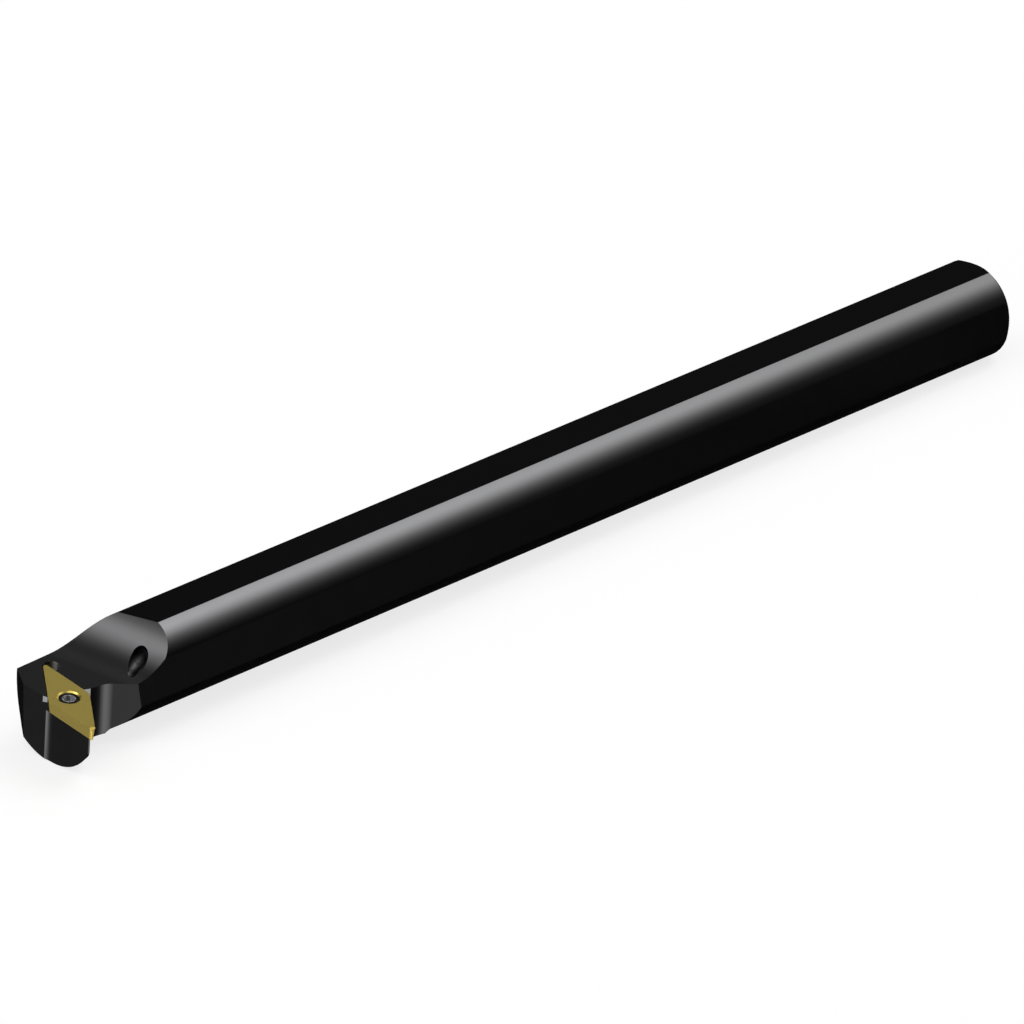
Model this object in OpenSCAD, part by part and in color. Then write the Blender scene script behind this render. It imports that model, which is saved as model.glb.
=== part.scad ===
/* [Shank] */
// Overall length from the cutting tip to the rear end
bar_length = 203.2; // [120:0.1:300]
// Shank diameter
shank_d = 15.875; // [15:0.005:17]
// Distance from the shank axis to the upper and the lower flat
flat_reach = 7.18; // [6.9:0.01:7.4]
// Distance from the shank axis to the flat on the cutting side
side_flat_reach = 7.26; // [6.9:0.01:7.4]
// Width of the chamfer round the rear end
rear_chamfer = 1.3; // [0.4:0.1:2]
// Distance from the tip to where the lower flat starts to run out
flat_start = 26; // [22:1:60]
// Distance from the tip to where the side flat starts, within the notch
side_flat_start = 12; // [11:0.2:13]
// Radius of the cutter that leaves the lower flat's run-out
runout_r = 20; // [10:1:40]

/* [Coolant] */
// Diameter of the coolant bore along the shank
coolant_d = 5; // [4:0.1:6]
// Width of the chamfer at the mouth of the coolant bore
coolant_chamfer = 0.5; // [0.2:0.1:1]
// Diameter of the outlet that opens in the scoop
outlet_d = 2.85; // [2:0.05:3.4]
// Height of the outlet above the shank axis
outlet_height = 2.63; // [2.2:0.01:3]
// Angle of the outlet to the shank axis
outlet_angle = 27.6; // [24:0.1:32]
// Distance behind the tip at which the outlet's axis passes the tip's reach
outlet_aim = 0.8; // [0:0.1:2]

/* [Head] */
// Distance from the shank axis to the cutting tip
tip_reach = 12.7; // [12.5:0.05:13]
// Offset of the head's centre line from the shank axis
head_offset = 1.96; // [1.8:0.01:2.1]
// Radius of the head at the plane of the tip
head_r = 10.24; // [9.9:0.01:10.4]
// Radius of the head where its taper ends
neck_r = 7.83; // [7.7:0.01:7.9]
// Length of the head's tapered part
taper_length = 9.4; // [9:0.1:10]
// Distance from the tip to the shoulder behind the head
head_length = 11.3; // [11:0.1:12]
// Length of the shoulder, which slopes at 45 degrees
shoulder_length = 2.4; // [2:0.1:3]
// Distance of the lug's front face behind the insert's sharp tip
face_back = 1.38; // [1.3:0.01:1.45]
// Distance from the shank axis to where the far side's bevel starts
bevel_start = 3.9; // [3.5:0.1:4.5]
// Angle between the far side's bevel and the front face
bevel_angle = 30.4; // [25:0.2:35]

/* [Chip floor] */
// Depth of the chip floor below the insert's top face
floor_drop = 0.34; // [0.2:0.01:0.5]
// Radius of the scoop that rises from the chip floor
scoop_r = 11.7; // [11:0.1:12.5]
// Distance from the tip to where the scoop starts to rise
scoop_start = 14.43; // [14:0.01:15]
// Angle of the scoop across the bar
scoop_angle = 12.2; // [8:0.1:16]

/* [Pocket] */
// Tilt of the insert down towards the cutting side
side_tilt = 6.14; // [5:0.02:7]
// Tilt of the insert down towards the front
front_tilt = 1.9; // [1:0.05:3]
// Angle between the cutting edge and the front plane
lead_angle = 3.17; // [2.5:0.01:4]
// Clearance between the insert's flanks and the pocket walls
pocket_clearance = 0.02; // [0.01:0.01:0.06]
// Distance of the body's front face behind the cutting edge
front_relief = 0.9; // [0.7:0.05:1]
// Distance of the body's side behind the trailing edge
side_relief = 0.5; // [0.3:0.05:0.6]
// Length along either side of the bevel on the body's corner below the cutting tip
corner_bevel = 0.4; // [0.2:0.05:0.6]
// Radius of the fillet between the two front faces
front_fillet_r = 5; // [4.5:0.1:5.5]
// Distance before the insert's side corner at which that fillet starts
fillet_short = 0.16; // [0.1:0.02:0.3]
// Depth below the seat down from which that fillet is cut
fillet_drop = 0.45; // [0.3:0.05:0.6]
// Radius of the relief at the insert's rear corner
relief_r = 1.4; // [1.36:0.01:1.6]
// Distance of that relief's centre back along the pocket wall
relief_back = 1.25; // [1.1:0.05:1.25]
// Distance of that relief's centre behind the pocket wall
relief_side = 0.6; // [0.5:0.05:0.7]
// Depth of that relief below the seat
relief_depth = 0.25; // [0.1:0.05:0.5]
// Distance along the pocket wall from the insert's side corner to the lug's end facet
facet_back = 1.6; // [1.5:0.05:2.2]
// Angle between that facet and the lug's front face
facet_angle = 16; // [10:1:25]
// Height of that facet
facet_height = 1.03; // [0.6:0.01:1.2]

/* [Notch] */
// Distance from the insert's side corner to the notch's rear wall
notch_gap = 1.51; // [1.3:0.01:1.8]
// Length of the rear wall behind the insert's side corner
notch_length = 4.25; // [4:0.05:4.6]
// Distance along the rear wall to where its entry facet starts
entry_length = 1.55; // [1.4:0.05:1.7]
// Angle of the entry facet to the shank axis
entry_angle = 21.9; // [20:0.1:26]
// Angle of the rear wall to the shank axis
notch_angle = 9.3; // [6:0.1:12]
// Angle of the notch's outer wall to the shank axis
outer_angle = 42.4; // [40:0.1:45]
// Radius of the fillet between the notch's walls
notch_r = 3.1; // [2.5:0.1:3.4]

/* [Insert] */
// Side of the rhombic insert
insert_side = 11.07; // [10.9:0.01:11.2]
// Acute corner angle of the insert
insert_angle = 35; // [34:0.1:36]
// Thickness of the insert
insert_thickness = 2.05; // [1.95:0.05:2.4]
// Clearance angle of the insert's flanks
flank_angle = 7; // [5:0.5:8]
// Corner radius of the insert
nose_r = 0.4; // [0.38:0.01:0.45]
// Diameter of the hole through the insert
insert_hole_d = 2.85; // [2.7:0.05:3]
// Diameter of the countersink in the insert's top face
sink_d = 3.7; // [3.6:0.05:3.9]
// Depth of the countersink's steep upper bevel, which slopes at 45 degrees
sink_bevel = 0.22; // [0.15:0.01:0.3]
// Depth of the countersink
sink_depth = 0.9; // [0.7:0.05:1.1]

/* [Screw] */
// Thread diameter of the insert screw
screw_d = 2.5; // [2.4:0.05:2.6]
// Distance from the insert's top face to the screw's tip
screw_reach = 6.2; // [5.5:0.1:7]
// Clearance round the screw's head and its thread
screw_clearance = 0.02; // [0.01:0.01:0.05]
// Length of the bevel at the screw's tip
screw_bevel = 0.3; // [0.2:0.05:0.5]
// Radius of the circle through the recess's lobes
lobe_circle_r = 0.8; // [0.7:0.01:0.85]
// Radius of one lobe of the recess
lobe_r = 0.24; // [0.2:0.01:0.28]
// Depth of the six-lobe recess
recess_depth = 0.7; // [0.4:0.05:0.9]

/* [Hidden] */
$fn = 96;

shank_r = shank_d / 2;
reach = 4 * shank_d;
blend_over = 0.003;

// The insert's corners in the plane of its top face, counted from the sharp tip
edge_heading = 90 - lead_angle;
trail_heading = edge_heading - insert_angle;
side_corner = insert_side * [cos(edge_heading), sin(edge_heading)];
back_corner = insert_side * [cos(trail_heading), sin(trail_heading)];
rear_corner = side_corner + back_corner;
insert_mid = rear_corner / 2;

// Centres of the insert's corner radii
half_angle = insert_angle / 2;
axis_heading = edge_heading - half_angle;
along = [cos(axis_heading), sin(axis_heading)];
across = [sin(axis_heading), -cos(axis_heading)];
acute_in = nose_r / sin(half_angle);
obtuse_in = nose_r / cos(half_angle);
nose_mid = along * acute_in;
nose_centres = [
  nose_mid,
  side_corner + across * obtuse_in,
  rear_corner - nose_mid,
  back_corner - across * obtuse_in
];
flank_inset = insert_thickness * tan(flank_angle);

// The sharp tip stands where the rounded one just touches the front plane and the reach
sharp_tip = [nose_r - nose_mid[0], nose_r - nose_mid[1] - tip_reach];

// Levels below the insert's top face
floor_z = -floor_drop;
seat_z = -insert_thickness;

// The head of the screw seats in the countersink
seat_r = sink_d / 2 - sink_bevel;
sink_slope = (seat_r - insert_hole_d / 2) / (sink_depth - sink_bevel);
head_top_r = seat_r - screw_clearance;
head_depth = (head_top_r - screw_d / 2) / sink_slope;

// Unit vectors along the cutting edge and along the trailing edge, and to their right
edge_way = [cos(edge_heading), sin(edge_heading)];
edge_side = [edge_way[1], -edge_way[0]];
trail_way = [cos(trail_heading), sin(trail_heading)];
trail_side = [trail_way[1], -trail_way[0]];

// The body below the insert stands back from both edges
front_foot = front_relief * edge_side;
side_foot = -side_relief * trail_side;
body_corner = meet(front_foot, edge_way, side_foot, trail_way);

// Plan of the front: where the relief below the edge ends, and its fillet's centre
front_end = front_foot + (side_corner[1] - fillet_short) / edge_way[1] * edge_way;
front_centre = front_end - front_fillet_r * edge_side;

// Plan of the notch: entry facet, rear wall, fillet and outer wall
rear_way = [cos(notch_angle), -sin(notch_angle)];
outer_way = [cos(outer_angle), -sin(outer_angle)];
entry_way = [cos(entry_angle), -sin(entry_angle)];
notch_wall = back_corner + [0, notch_gap];
notch_corner = notch_wall + notch_length / rear_way[0] * rear_way;
notch_tangent = notch_r * tan((outer_angle - notch_angle) / 2);
rear_end = notch_corner - notch_tangent * rear_way;
outer_start = notch_corner + notch_tangent * outer_way;
notch_centre = rear_end + notch_r * [rear_way[1], -rear_way[0]];
entry_corner = notch_wall + entry_length * rear_way;

// Where the line through p along u meets the line through q along v
function meet(p, u, q, v) = p + cross(q - p, v) / cross(u, v) * u;

// Puts its children in the insert's frame: sharp tip at the origin, top face at zero
module insert_frame() {
  translate([sharp_tip[0], sharp_tip[1], 0]) rotate([side_tilt, -front_tilt, 0]) children();
}

// A rod along the bar, from x = a to x = b, with end radii ra and rb
module rod(a, b, ra, rb) {
  translate([a, 0, 0]) rotate([0, 90, 0]) cylinder(h = b - a, r1 = ra, r2 = rb);
}

// Runs a plan through the whole head
module through() {
  translate([0, 0, -reach / 2]) linear_extrude(height = reach) children();
}

// A fillet's cutter round c, a hair larger so that it crosses the walls it blends
module fillet(c, r, top) {
  translate([c[0], c[1], top - reach])
    rotate([0, 0, 180]) cylinder(r = r + blend_over, h = reach);
}

// All that lies to the left of a line through p, leaning by the given angle
module left_of(p, heading, lean = 0) {
  translate([p[0], p[1], 0])
    rotate([0, 0, heading])
      rotate([lean, 0, 0])
        translate([-reach, 0, -reach]) cube([2 * reach, reach, 2 * reach]);
}

module blank() {
  rod(0, bar_length - rear_chamfer, shank_r, shank_r);
  rod(bar_length - rear_chamfer, bar_length, shank_r, shank_r - rear_chamfer);
  translate([0, -head_offset, 0]) {
    rod(0, taper_length, head_r, neck_r);
    rod(taper_length, head_length, neck_r, neck_r);
    rod(head_length, head_length + shoulder_length, neck_r, neck_r - shoulder_length);
  }
}

// The upper flat runs into the scoop and the side flat into the notch, while the
// lower one runs out behind the head
module flats() {
  translate([0, -reach, flat_reach]) cube([bar_length + reach, 2 * reach, reach]);
  translate([side_flat_start, -side_flat_reach - reach, -reach])
    cube([bar_length, reach, 2 * reach]);
  translate([flat_start, -reach, -flat_reach - reach]) cube([bar_length, 2 * reach, reach]);
  translate([flat_start, 0, -flat_reach - runout_r])
    rotate([90, 0, 0]) cylinder(r = runout_r, h = 2 * reach, center = true);
}

module coolant_way() {
  outlet_length = (tip_reach + coolant_d / 2) / sin(outlet_angle);
  meeting = outlet_aim + tip_reach / tan(outlet_angle);
  rod(meeting - coolant_d / 2, bar_length + coolant_d, coolant_d / 2, coolant_d / 2);
  rod(bar_length - coolant_chamfer, bar_length + coolant_chamfer,
    coolant_d / 2, coolant_d / 2 + 2 * coolant_chamfer);
  translate([outlet_aim, -tip_reach, outlet_height])
    rotate([0, 0, outlet_angle]) rotate([0, 90, 0]) cylinder(h = outlet_length, d = outlet_d);
}

// Chip floor level with the insert, rising as a cylindrical scoop to the upper flat
module scoop() {
  rotate([0, 0, scoop_angle]) {
    translate([-reach, -reach, floor_z]) cube([reach + scoop_start, 2 * reach, reach]);
    translate([scoop_start, 0, floor_z + scoop_r])
      rotate([90, 0, 0]) cylinder(r = scoop_r, h = 2 * reach, center = true);
  }
}

// Pocket with two walls that follow the insert's rear flanks
module pocket() {
  shift = pocket_clearance / cos(flank_angle);
  intersection() {
    left_of(back_corner + shift * edge_side, edge_heading, flank_angle);
    left_of(side_corner - shift * trail_side, trail_heading + 180, flank_angle);
    translate([-reach, -reach, seat_z]) cube([2 * reach, 2 * reach, reach]);
  }
}

// Relief drilled at the rear corner, down to just below the seat
module rear_relief() {
  c = rear_corner - relief_back * edge_way + relief_side * edge_side;
  translate([c[0], c[1], seat_z - relief_depth]) cylinder(r = relief_r, h = reach);
}

// The pocket opens into the notch beside the insert's back corner
module back_relief() {
  wall_end = meet(entry_corner, entry_way, back_corner, edge_way);
  translate([0, 0, seat_z]) linear_extrude(height = reach)
    polygon([wall_end - pocket_clearance * entry_way, entry_corner,
      entry_corner - [0, 2 * notch_gap], back_corner - trail_way]);
}

// Facet across the thin end of the lug beside the insert's side corner
module lug_facet() {
  p = side_corner + facet_back * trail_way;
  far = p + facet_back * [-sin(facet_angle), cos(facet_angle)];
  translate([0, 0, floor_z - facet_height]) linear_extrude(height = reach)
    polygon([p, far, far - [facet_back, 0], side_corner - [facet_back, facet_back],
      p - [0, facet_back]]);
}

// Plan of the notch on the cutting side
module notch_plan() {
  polygon([
    meet(entry_corner, entry_way, side_foot, trail_way),
    entry_corner,
    rear_end,
    notch_centre,
    outer_start,
    notch_corner + reach / 2 * outer_way,
    notch_corner + reach / 2 * outer_way - [0, reach],
    side_foot - reach / 2 * trail_way
  ]);
}

// Plan of the relief in front, below the cutting edge
module front_plan() {
  polygon([front_foot - reach / 2 * edge_way, front_end, front_end - [reach, 0],
    front_foot - [reach, reach / 2]]);
}

// The lug's front face, from beside the insert to the far side
module lug_front() {
  translate([-reach, side_corner[1] - face_back, -reach])
    cube([reach + face_back, 2 * reach, 2 * reach]);
}

// Plan of the bevel on the body's corner below the cutting tip
module corner_plan() {
  polygon([body_corner + 2 * corner_bevel * edge_way - corner_bevel * trail_way,
    body_corner - corner_bevel * along,
    body_corner + 2 * corner_bevel * trail_way - corner_bevel * edge_way]);
}

module bar() {
  color("#17181a")
    translate([-bar_length, 0, 0])
      difference() {
        blank();
        flats();
        coolant_way();
        left_of([face_back + sharp_tip[0], bevel_start], 90 - bevel_angle);
        insert_frame() {
          scoop();
          pocket();
          rear_relief();
          back_relief();
          lug_facet();
          through() notch_plan();
          fillet(notch_centre, notch_r, reach / 2);
          through() front_plan();
          lug_front();
          fillet(front_centre, front_fillet_r, seat_z - fillet_drop);
          through() corner_plan();
          translate([insert_mid[0], insert_mid[1], -reach / 2])
            cylinder(r = screw_d / 2 + screw_clearance, h = reach);
        }
      }
}

module insert() {
  color("#c9a84a")
    translate([-bar_length, 0, 0])
      insert_frame()
        difference() {
          hull() {
            for (c = nose_centres)
              translate([c[0], c[1], seat_z])
                cylinder(h = insert_thickness, r1 = nose_r - flank_inset, r2 = nose_r, $fn = 48);
          }
          translate([insert_mid[0], insert_mid[1], 0]) {
            translate([0, 0, -reach / 2]) cylinder(d = insert_hole_d, h = reach);
            translate([0, 0, -sink_depth])
              cylinder(r1 = insert_hole_d / 2, r2 = seat_r, h = sink_depth - sink_bevel);
            translate([0, 0, -sink_bevel])
              cylinder(r1 = seat_r, r2 = sink_d / 2 + sink_bevel, h = 2 * sink_bevel);
          }
        }
}

module insert_screw() {
  color("#8d8f92")
    translate([-bar_length, 0, 0])
      insert_frame()
        translate([insert_mid[0], insert_mid[1], 0])
          difference() {
            union() {
              translate([0, 0, -sink_bevel - head_depth])
                cylinder(r1 = screw_d / 2, r2 = head_top_r, h = head_depth);
              translate([0, 0, -screw_reach + screw_bevel])
                cylinder(d = screw_d, h = screw_reach - screw_bevel - sink_bevel - head_depth);
              translate([0, 0, -screw_reach])
                cylinder(r1 = screw_d / 2 - screw_bevel, r2 = screw_d / 2, h = screw_bevel);
            }
            translate([0, 0, -sink_bevel - recess_depth]) linear_extrude(height = reach) {
              circle(r = lobe_circle_r);
              for (i = [0:5]) rotate(60 * i) translate([lobe_circle_r, 0]) circle(r = lobe_r);
            }
          }
}

bar();
insert();
insert_screw();
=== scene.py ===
"""Boring bar: looks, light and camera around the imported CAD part.

Frame in metres: origin at the centre of the shank's rear end, head towards -X, Z up.
"""
import math

import bpy
import numpy as np
from mathutils import Matrix, Vector


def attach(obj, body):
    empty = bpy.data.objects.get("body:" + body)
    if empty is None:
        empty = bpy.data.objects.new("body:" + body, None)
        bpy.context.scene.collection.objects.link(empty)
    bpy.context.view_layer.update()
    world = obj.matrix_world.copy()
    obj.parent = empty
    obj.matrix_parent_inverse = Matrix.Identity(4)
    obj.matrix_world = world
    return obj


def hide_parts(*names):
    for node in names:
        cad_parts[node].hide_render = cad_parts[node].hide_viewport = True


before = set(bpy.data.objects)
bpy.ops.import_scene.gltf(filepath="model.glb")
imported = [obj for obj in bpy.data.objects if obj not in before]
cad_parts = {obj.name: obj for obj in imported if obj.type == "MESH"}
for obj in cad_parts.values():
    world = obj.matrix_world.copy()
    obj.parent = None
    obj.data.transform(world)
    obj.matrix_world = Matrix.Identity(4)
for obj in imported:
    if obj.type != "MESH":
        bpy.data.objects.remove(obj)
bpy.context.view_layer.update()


# The bar: one piece of tool steel, turned and milled, then blackened. The black finish
# mirrors like dark glass. Grinding leaves very faint rings round the shank, and the drilled
# coolant outlet and the relief at the insert's rear corner are bare inside, with a painted
# reflection in each. Towards the rear end the black is painted darker, a painted shade that
# dims the highlight there.
MM = 0.001
SHANK_LENGTH = 190 * MM
BLACK = (0.080, 0.080, 0.082)
BLACK_WORN = (0.088, 0.088, 0.090)
REAR_PAINTED_SHADE = (0.062, 0.062, 0.063)
BLACK_ROUGH = 0.12
STAIN_CELLS = 260.0
STAIN_DULLER = 0.04
REAR_SHADE_FADE = 1.3
RING_WIDTH = 0.35 * MM
RING_CELLS = 30.0
GRAIN_CELLS = 9000.0
GRAIN_SHARE = 0.5
GRINDING_DEPTH = 0.00012 * MM
GRINDING_STRENGTH = 0.25

# The insert lies tilted down to the front and to the side, in degrees. Places on it, and on
# the cuts that follow it, lie in its top face, and count in millimetres from the screw's
# axis: back, and to the far side.
FRONT_TILT, SIDE_TILT = 1.90, 6.14
INSERT_MID = Vector((-199.580, -3.723, 1.180)) * MM
INSERT_THICKNESS = 2.05 * MM

# The bare steel in the outlet and the relief, with a painted reflection: the bare colour is
# brightest in a strip along each hole where it would mirror the light, and less beside it. In
# the outlet it grows with the depth.
BARE_AND_PAINTED_REFLECTION = (0.90, 0.90, 0.91)
BARE_ROUGH = 0.56
REFLECTION_SHARPNESS = 9.0
HOLE_MARGIN = 0.006 * MM
OUTLET_AIM = Vector((-202.4, -12.7, 2.63)) * MM
OUTLET_HEADING = 27.6
OUTLET_REFLECTION_HEIGHT = -57.13
OUTLET_R = 1.425 * MM
OUTLET_MOUTH = 16.8 * MM
OUTLET_GROWTH = 4.5 * MM
OUTLET_LEAST = 0.12
OUTLET_BESIDE = 0.35
RELIEF_MID = (4.257, 8.597)
RELIEF_R = 1.4 * MM
RELIEF_REFLECTION_WAY = (16.9, -1.47)
RELIEF_BESIDE = 0.25

# The notch, in degrees to the shank. Its rear wall carries painted shade, darker away from
# the fillet, and the narrow facet beside the insert's back corner a painted highlight. Both
# are matched to the photo.
NOTCH_ANGLE, ENTRY_ANGLE = 9.3, 21.9
WALL_END = (6.456, -0.212)
FACET_END = (4.644, 0.085)
WALL_PAINTED_SHADE = (0.006, 0.006, 0.007)
FACET_PAINTED_HIGHLIGHT = (0.21, 0.21, 0.215)
WALL_SHADE_FADE = 0.36 * MM
WALL_REACH = 4.0 * MM
WALL_MARGIN = 0.02 * MM
FACET_MARGIN = 0.01 * MM


class Shade:
    """A socket of a node tree that can be reckoned with, so that shader maths reads as maths.

    Without a socket it stands for the tree alone, and starts the nodes that need no other.
    """

    def __init__(self, tree, socket=None):
        self.tree = tree
        self.socket = socket

    def node(self, kind, settings=None, sockets=None, out=0):
        """Adds a node: its type, then its settings, then what goes into its sockets.

        A socket is told by its name or its number, and so is the one that comes out.
        """
        made = self.tree.nodes.new(kind)
        for name, value in (settings or {}).items():
            setattr(made, name, value)
        for name, value in (sockets or {}).items():
            self.feed(made.inputs[name], value)
        return Shade(self.tree, made.outputs[out] if made.outputs else None)

    def feed(self, socket, value):
        """Links a shade to a socket, or sets the socket's own value."""
        if isinstance(value, Shade):
            self.tree.links.new(value.socket, socket)
        else:
            socket.default_value = value

    def maths(self, operation, *values, kind="ShaderNodeMath", out=0):
        """One operation on the values, each a shade or a plain one."""
        return self.node(kind, {"operation": operation}, dict(enumerate(values)), out)

    def __add__(self, other):
        return self.maths("ADD", self, other)

    def __radd__(self, other):
        return self.maths("ADD", other, self)

    def __sub__(self, other):
        return self.maths("SUBTRACT", self, other)

    def __rsub__(self, other):
        return self.maths("SUBTRACT", other, self)

    def __mul__(self, other):
        return self.maths("MULTIPLY", self, other)

    def __rmul__(self, other):
        return self.maths("MULTIPLY", other, self)

    def __truediv__(self, other):
        return self.maths("DIVIDE", self, other)

    def __pow__(self, other):
        return self.maths("POWER", self, other)

    def __rpow__(self, other):
        return self.maths("POWER", other, self)

    def size(self):
        """This value without its sign."""
        return self.maths("ABSOLUTE", self)

    def atleast(self, limit):
        """This value, or the limit where this is less."""
        return self.maths("MAXIMUM", self, limit)

    def atmost(self, limit):
        """This value, or the limit where this is more."""
        return self.maths("MINIMUM", self, limit)

    def above(self, limit):
        """One where this value is more than the limit, and nought elsewhere."""
        return self.maths("GREATER_THAN", self, limit)

    def below(self, limit):
        """One where this value is less than the limit, and nought elsewhere."""
        return self.maths("LESS_THAN", self, limit)

    def lifted(self, least):
        """This share drawn up, so that nought becomes the least and one stays one."""
        return least + (1 - least) * self

    def vector(self, operation, *values, out=0):
        """One operation on this vector and the values."""
        return self.maths(operation, self, *values, kind="ShaderNodeVectorMath", out=out)

    def dot(self, vector):
        """The dot product of this vector and another, as a number."""
        return self.vector("DOT_PRODUCT", vector, out="Value")

    def scaled(self, vector):
        """This vector, each part times the other's."""
        return self.vector("MULTIPLY", vector)

    def along(self, point, way):
        """How far this place lies beyond the point, counted along the unit vector."""
        return self.vector("SUBTRACT", point).dot(way)

    def from_axis(self, point, axis):
        """How far this place lies from the line through the point along the unit axis."""
        beside = self.vector("SUBTRACT", point).vector("CROSS_PRODUCT", axis)
        return beside.vector("LENGTH", out="Value")

    def noise(self, cells, detail=3.0):
        """Clouds from nought to one round a half, with this many cells to a metre."""
        return self.node("ShaderNodeTexNoise",
                         sockets={"Vector": self, "Scale": cells, "Detail": detail})

    def bumps(self, depth, strength):
        """The surface's normal, as if this height times the depth stood on the surface."""
        return self.node("ShaderNodeBump",
                         sockets={"Height": self, "Distance": depth, "Strength": strength})

    def between(self, low, high):
        """A colour between two, at this share of the way. Either may be a shade or a tuple."""
        low, high = (c if isinstance(c, Shade) else (*c, 1) for c in (low, high))
        colour_low, colour_high, colour_out = 6, 7, 2
        return self.node("ShaderNodeMix", {"data_type": "RGBA"},
                         {0: self, colour_low: low, colour_high: high}, colour_out)


def metal(name):
    """A new metal: its material and shader, and the place on the object as a shade."""
    made = bpy.data.materials.new(name)
    made.use_nodes = True
    shader = made.node_tree.nodes["Principled BSDF"]
    shader.inputs["Metallic"].default_value = 1.0
    return made, shader, Shade(made.node_tree).node("ShaderNodeTexCoord", out="Object")


def dress(node, made):
    """Gives a CAD node the material in each of its slots."""
    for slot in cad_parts[node].material_slots:
        slot.material = made


def way_to(heading, height=0.0):
    """Unit vector at a heading, from +X towards +Y, and a height above level, in degrees."""
    turn, rise = math.radians(heading), math.radians(height)
    return Vector((math.cos(turn) * math.cos(rise), math.sin(turn) * math.cos(rise),
                   math.sin(rise)))


insert_turn = (Matrix.Rotation(-math.radians(FRONT_TILT), 3, "Y")
               @ Matrix.Rotation(math.radians(SIDE_TILT), 3, "X"))
insert_front, insert_side, insert_up = insert_turn.col


def on_insert(back, far):
    """Place in the insert's top face, this far back and to the far side of the screw's axis."""
    return INSERT_MID + insert_turn @ Vector((back, far, 0)) * MM


def along_insert(heading, height=0.0):
    """Unit vector at a heading in the insert's plane and a height above it, in degrees."""
    return insert_turn @ way_to(heading, height)


outlet_way = way_to(OUTLET_HEADING)
outlet_reflection_way = way_to(OUTLET_HEADING + 90, OUTLET_REFLECTION_HEIGHT)
relief_mid = on_insert(*RELIEF_MID)
relief_reflection_way = along_insert(*RELIEF_REFLECTION_WAY)
wall_end = on_insert(*WALL_END)
wall_way = along_insert(180 - NOTCH_ANGLE)
wall_out = along_insert(-90 - NOTCH_ANGLE)
facet_end = on_insert(*FACET_END)
facet_out = along_insert(-90 - ENTRY_ANGLE)

black, shader, place = metal("black_oxide_steel")
stain = place.noise(STAIN_CELLS)
# Painted shade: the black darkens towards the rear end, dimming the highlight there.
rear_shade_share = place.along((-SHANK_LENGTH, 0, 0), (1, 0, 0)) / SHANK_LENGTH
rear_shade_share = rear_shade_share.atleast(0.0) ** REAR_SHADE_FADE
finish_and_painted_light = rear_shade_share.between(stain.between(BLACK, BLACK_WORN), REAR_PAINTED_SHADE)

# Painted reflection: the bare colour is brightest in a strip along each hole.
in_outlet = place.from_axis(OUTLET_AIM, outlet_way).below(OUTLET_R + HOLE_MARGIN)
growth = (place.along(OUTLET_AIM, outlet_way) - OUTLET_MOUTH) / OUTLET_GROWTH
reflection_strip = (place.along(OUTLET_AIM, outlet_reflection_way) / OUTLET_R).atleast(0.0) ** REFLECTION_SHARPNESS
bare_and_reflection = in_outlet * growth.atleast(OUTLET_LEAST).atmost(1.0) * reflection_strip.lifted(OUTLET_BESIDE)
in_relief = place.from_axis(relief_mid, insert_up).below(RELIEF_R + HOLE_MARGIN)
in_relief = in_relief * place.along(relief_mid, insert_up).above(-INSERT_THICKNESS)
reflection_strip = (place.along(relief_mid, relief_reflection_way) / RELIEF_R).atleast(0.0) ** REFLECTION_SHARPNESS
bare_and_reflection = bare_and_reflection + in_relief * reflection_strip.lifted(RELIEF_BESIDE)
finish_and_painted_light = bare_and_reflection.between(finish_and_painted_light, BARE_AND_PAINTED_REFLECTION)

# Painted shade on the notch's rear wall, away from the fillet; painted highlight on its facet.
from_fillet = place.along(wall_end, wall_way)
in_notch = from_fillet.above(0.0) * from_fillet.below(WALL_REACH)
on_wall = place.along(wall_end, wall_out).size().below(WALL_MARGIN) * in_notch
wall_painted_shade = on_wall * (1 - math.e ** (from_fillet.atleast(0.0) / -WALL_SHADE_FADE))
finish_and_painted_light = wall_painted_shade.between(finish_and_painted_light, WALL_PAINTED_SHADE)
on_facet = place.along(facet_end, facet_out).size().below(FACET_MARGIN)
finish_and_painted_light = (on_facet * (1 - on_wall) * in_notch).between(finish_and_painted_light, FACET_PAINTED_HIGHLIGHT)

rough = BLACK_ROUGH + STAIN_DULLER * stain + (BARE_ROUGH - BLACK_ROUGH) * bare_and_reflection
rings = place.scaled((1 / RING_WIDTH, RING_CELLS, RING_CELLS)).noise(1.0, detail=2.0)
grain = place.noise(GRAIN_CELLS, detail=1.0)
grinding = (rings + GRAIN_SHARE * grain).bumps(GRINDING_DEPTH, GRINDING_STRENGTH)
place.feed(shader.inputs["Base Color"], finish_and_painted_light)
place.feed(shader.inputs["Roughness"], rough)
place.feed(shader.inputs["Normal"], grinding)
dress("bar", black)


# The insert: pressed carbide with a gold coloured nitride coat, ground flat on top. The coat
# is satin, so it takes its shade from a wide part of the room. The honed nose is duller.
GOLD = (0.96, 0.755, 0.190)
GOLD_DEEP = (0.92, 0.71, 0.170)
GOLD_ROUGH = 0.26
CLOUD_CELLS = 900.0
CLOUD_DULLER = 0.05
NOSE_MID = (-3.257, -8.633)
NOSE_R = 0.42 * MM
HONED_DULLER = 0.22
GRIT_CELLS = 7000.0
GRIT_DEPTH = 0.0012 * MM
GRIT_STRENGTH = 0.12
nose_mid = on_insert(*NOSE_MID)

gold, shader, place = metal("gold_coat")
cloud = place.noise(CLOUD_CELLS)
honed = place.from_axis(nose_mid, insert_up).below(NOSE_R)
rough = GOLD_ROUGH + CLOUD_DULLER * cloud + HONED_DULLER * honed
grit = place.noise(GRIT_CELLS, detail=2.0).bumps(GRIT_DEPTH, GRIT_STRENGTH)
place.feed(shader.inputs["Base Color"], cloud.between(GOLD, GOLD_DEEP))
place.feed(shader.inputs["Roughness"], rough)
place.feed(shader.inputs["Normal"], grit)
dress("insert", gold)


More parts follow.
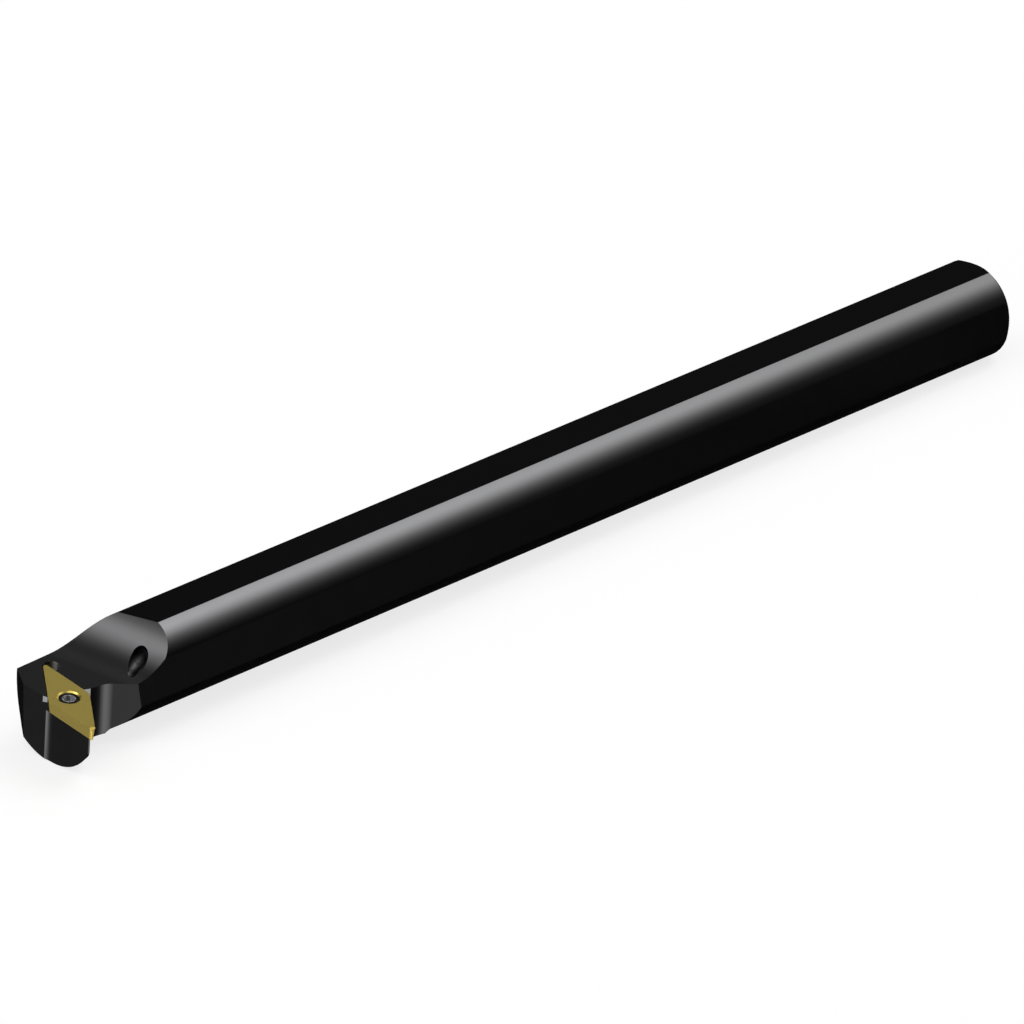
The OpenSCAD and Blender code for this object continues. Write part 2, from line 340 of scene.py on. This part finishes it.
# The insert screw: hardened steel with a rolled thread, blackened as the bar is. Its conical
# head sits in the insert's countersink. The six-lobe recess is pressed in, and its walls are
# painted bright, a painted reflection, with its floor painted less bright.
HEAD_TOP, HEAD_TOP_R = 0.22 * MM, 1.61 * MM
HEAD_FOOT, THREAD_R = 1.414 * MM, 1.25 * MM
THREAD_START, THREAD_END, SCREW_END = 2.3 * MM, 5.8 * MM, 6.2 * MM
PITCH, THREAD_DEPTH, TIP_BEVEL = 0.45 * MM, 0.26 * MM, 0.3 * MM
THREAD_FLAT = 1 / 6
LOBES, LOBE_CIRCLE_R, LOBE_R = 6, 0.8 * MM, 0.24 * MM
RECESS_DEPTH, RECESS_REACH = 0.7 * MM, 1.055 * MM
STEPS_ROUND = 120
STEPS_A_PITCH = 14
SHARP_ANGLE = 32
HEAD_BLACK = (0.040, 0.040, 0.043)
RECESS_PAINTED_REFLECTION = (0.85, 0.85, 0.86)
FLOOR_DULL = (0.26, 0.26, 0.27)
FLOOR_MARGIN = 0.01 * MM
SCREW_ROUGH = 0.18
SCUFF_CELLS = 3000.0
SCUFF_DULLER = 0.05
RECESS_DULLER = 0.05


def lobed(heading):
    """The recess's outline: the farther of a circle and of six small circles centred on it.

    A small circle is reached at c cos(d) + sqrt(l^2 - c^2 sin(d)^2), where d is the angle to
    its centre, c the circle's radius and l the small one's.
    """
    apart = np.mod(heading + math.pi / LOBES, 2 * math.pi / LOBES) - math.pi / LOBES
    under = LOBE_R ** 2 - (LOBE_CIRCLE_R * np.sin(apart)) ** 2
    reach = LOBE_CIRCLE_R * np.cos(apart) + np.sqrt(np.maximum(under, 0))
    return np.where(under > 0, np.maximum(LOBE_CIRCLE_R, reach), LOBE_CIRCLE_R)


def threaded(depth, heading):
    """Radius of the shank: a 60 degree ridge that runs round once for each pitch of depth.

    The ridge is a triangle wave of depth / pitch - heading / turn, clipped to flats at its
    crest and its root, and its height fades in and out over one pitch at the thread's ends.
    """
    phase = np.mod(depth / PITCH - heading / (2 * math.pi), 1.0)
    from_crest = 1 - THREAD_FLAT - np.abs(2 * phase - 1)
    valley = np.clip(from_crest / (1 - 2 * THREAD_FLAT), 0, 1)
    fade_in = np.clip((depth - THREAD_START) / PITCH, 0, 1)
    fade_out = np.clip((THREAD_END + PITCH - depth) / PITCH, 0, 1)
    return THREAD_R - THREAD_DEPTH * valley * fade_in * fade_out


def screw_mesh():
    """Rings round the screw's axis, from the recess's floor out, over the head and down.

    A ring is a depth below the insert's top face and a radius for each heading, and a place
    on it is middle + radius (cos(heading) front + sin(heading) side) - depth up. The first
    and last rings are closed by a point.
    """
    heading = np.linspace(0, 2 * math.pi, STEPS_ROUND, endpoint=False)
    even = np.ones(STEPS_ROUND)
    recess = lobed(heading)
    recess_floor = HEAD_TOP + RECESS_DEPTH
    shank_end = SCREW_END - TIP_BEVEL
    steps = round((shank_end - THREAD_START) / PITCH * STEPS_A_PITCH)
    rings = [(recess_floor, recess / 2), (recess_floor, recess), (HEAD_TOP, recess),
             (HEAD_TOP, HEAD_TOP_R * even), (HEAD_FOOT, THREAD_R * even)]
    rings += [(depth, threaded(depth, heading))
              for depth in np.linspace(THREAD_START, shank_end, steps)]
    rings += [(SCREW_END, (THREAD_R - TIP_BEVEL) * even)]
    depth = np.array([ring[0] for ring in rings])[:, None] * even
    radius = np.array([ring[1] for ring in rings])

    middle, front, side, up = np.array([INSERT_MID, insert_front, insert_side, insert_up])
    grid = (middle + (radius * np.cos(heading))[..., None] * front
            + (radius * np.sin(heading))[..., None] * side - depth[..., None] * up)
    centre, tip = middle - recess_floor * up, middle - SCREW_END * up
    spots = np.concatenate([grid.reshape(-1, 3), [centre, tip]])

    step = np.arange(STEPS_ROUND)
    onward = np.roll(step, -1)
    starts = STEPS_ROUND * np.arange(len(rings))[:, None]
    walls = [starts[:-1] + step, starts[1:] + step, starts[1:] + onward, starts[:-1] + onward]
    faces = np.stack(walls, -1).reshape(-1, 4).tolist()
    to_centre, to_tip = np.full_like(step, len(spots) - 2), np.full_like(step, len(spots) - 1)
    faces += np.stack([step, onward, to_centre], 1).tolist()
    faces += np.stack([starts[-1] + onward, starts[-1] + step, to_tip], 1).tolist()
    made = bpy.data.meshes.new("screw")
    made.from_pydata(spots.tolist(), [], faces)
    made.polygons.foreach_set("use_smooth", np.ones(len(made.polygons), dtype=bool))
    made.set_sharp_from_angle(angle=math.radians(SHARP_ANGLE))
    made.validate()
    return made


screw = bpy.data.objects.new("screw", screw_mesh())
bpy.context.scene.collection.objects.link(screw)

steel, shader, place = metal("screw_steel")
level = place.along(INSERT_MID, insert_up)
# Painted reflection: the recess's walls are painted bright and its floor less so.
in_recess = place.from_axis(INSERT_MID, insert_up).below(RECESS_REACH) * level.above(-HEAD_FOOT)
off_floor = level.above(FLOOR_MARGIN - HEAD_TOP - RECESS_DEPTH)
recess_paint = off_floor.between(FLOOR_DULL, RECESS_PAINTED_REFLECTION)
rough = SCREW_ROUGH + SCUFF_DULLER * place.noise(SCUFF_CELLS) + RECESS_DULLER * in_recess
place.feed(shader.inputs["Base Color"], in_recess.between(HEAD_BLACK, recess_paint))
place.feed(shader.inputs["Roughness"], rough)
screw.data.materials.append(steel)
dress("insert_screw", steel)
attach(screw, "root")
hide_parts("insert_screw")


# The room: soft boxes in the dark, each a round glow on the sky that one part of the tool
# mirrors to the camera. A box is its heading, height above level and half-width in degrees,
# and its strength. The camera itself sees a white room.
SOFT_BOXES = [
    (-11.6, 52.9, 18.6, 2.06),  # the shank's long highlight
    (-13.2, 52.6, 11.9, 2.37),  # the highlight's core
    (153.8, 49.8, 13.0, 1.99),  # the scoop's rise
    (152.3, 66.5, 15.4, 0.71),  # the scoop's foot
    (-89.9, -26.3, 14.2, 1.90),  # the notch's fillet
    (-117.2, -38.4, 9.5, 0.61),  # the notch's outer wall
    (184.0, 12.2, 16.6, 0.89),  # the scoop's upper end
    (167.4, -27.0, 10.2, 4.7),  # the lug's facet, the relief and the front band's edge
    (118.0, -48.0, 10.0, 0.3),  # the insert's front flank
    (132.0, 29.5, 21.6, 0.11),  # the rest of the scoop
    (182.5, -32.6, 114.4, 0.055),  # all that looks forward
    (-134.0, 64.0, 12.0, 1.6),  # the rim of the insert's hole
]
ROOM_GLOW = 0.004

world = bpy.data.worlds.new("room")
bpy.context.scene.world = world
world.use_nodes = True
sky = Shade(world.node_tree)
way = sky.node("ShaderNodeTexCoord", out="Generated")
glow = ROOM_GLOW
for heading, height, width, strength in SOFT_BOXES:
    sharpness = 1 / math.radians(width) ** 2
    glow = strength * way.dot(way_to(heading, height)).atleast(0.0) ** sharpness + glow
seen = sky.node("ShaderNodeLightPath", out="Is Camera Ray")
background = world.node_tree.nodes["Background"]
sky.feed(background.inputs["Color"], (1, 1, 1, 1))
sky.feed(background.inputs["Strength"], glow * (1 - seen) + seen)


# The floor: pale paper that the bar lies on, touching the head's underside and the lower
# flat's rear edge, so it leans a little. It is white to the camera and takes the shadow.
# Mirrored rays pass through it.
FLOOR_SIZE = 12.0
TOUCH_MARGIN = 0.01 * MM
SHADOW_SHARE = 0.28
PAPER = 0.92
PAPER_LIGHT = 0.84

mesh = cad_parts["bar"].data
spots = np.empty(len(mesh.vertices) * 3, dtype=np.float32)
mesh.vertices.foreach_get("co", spots)
spots = spots.reshape(-1, 3)
rear = spots[spots[:, 0] > -SHANK_LENGTH / 2]
rear_low = rear[:, 2].min()
rear_x = rear[rear[:, 2] < rear_low + TOUCH_MARGIN][:, 0].max()
head = spots[spots[:, 0] < -SHANK_LENGTH]
lean = float(((rear_low - head[:, 2]) / (rear_x - head[:, 0])).max())
bpy.ops.mesh.primitive_plane_add(size=FLOOR_SIZE, location=(rear_x, 0, rear_low),
                                 rotation=(0, -math.atan(lean), 0))
floor = bpy.context.object
floor.name = "floor"

paper = bpy.data.materials.new("paper")
paper.use_nodes = True
paper.node_tree.nodes.clear()
sheet = Shade(paper.node_tree)
glossy = sheet.node("ShaderNodeLightPath", out="Is Glossy Ray")
shadow = sheet.node("ShaderNodeLightPath", out="Is Shadow Ray")

# The glowing and the lit share of the paper together come out white where no shadow falls.
white = (1 - SHADOW_SHARE * PAPER * PAPER_LIGHT) / (1 - SHADOW_SHARE)
plain = sheet.node("ShaderNodeEmission", sockets={"Color": (1, 1, 1, 1), "Strength": white})
lit = sheet.node("ShaderNodeBsdfDiffuse", sockets={"Color": (PAPER, PAPER, PAPER, 1)})
clear = sheet.node("ShaderNodeBsdfTransparent")
shown = sheet.node("ShaderNodeMixShader", sockets={0: SHADOW_SHARE, 1: plain, 2: lit})
top = sheet.node("ShaderNodeMixShader", sockets={0: glossy.atleast(shadow), 1: shown, 2: clear})
sheet.node("ShaderNodeOutputMaterial", sockets={"Surface": top})
floor.data.materials.append(paper)


# The camera: a long lens, far off and above, in front of the head on the insert's side. Its
# place and its turn are solved from the bar's straight edges and ellipses in the photo.
LENS, SENSOR = 601.7, 36.0
NEAR, FAR = 0.1, 100.0
CAMERA_PLACE = Vector((-1762.33, -1700.42, 1139.77)) * MM
CAMERA_HEADING, CAMERA_HEIGHT = -134.30, 25.66

back = way_to(CAMERA_HEADING, CAMERA_HEIGHT)
right = way_to(CAMERA_HEADING + 90)
turned = Matrix((right, back.cross(right), back)).transposed().to_4x4()
camera = bpy.data.objects.new("camera", bpy.data.cameras.new("camera"))
bpy.context.scene.collection.objects.link(camera)
camera.matrix_world = Matrix.Translation(CAMERA_PLACE) @ turned
camera.data.lens = LENS
camera.data.sensor_width = SENSOR
camera.data.clip_start = NEAR
camera.data.clip_end = FAR
bpy.context.scene.camera = camera

bpy.context.scene.view_settings.view_transform = "Standard"
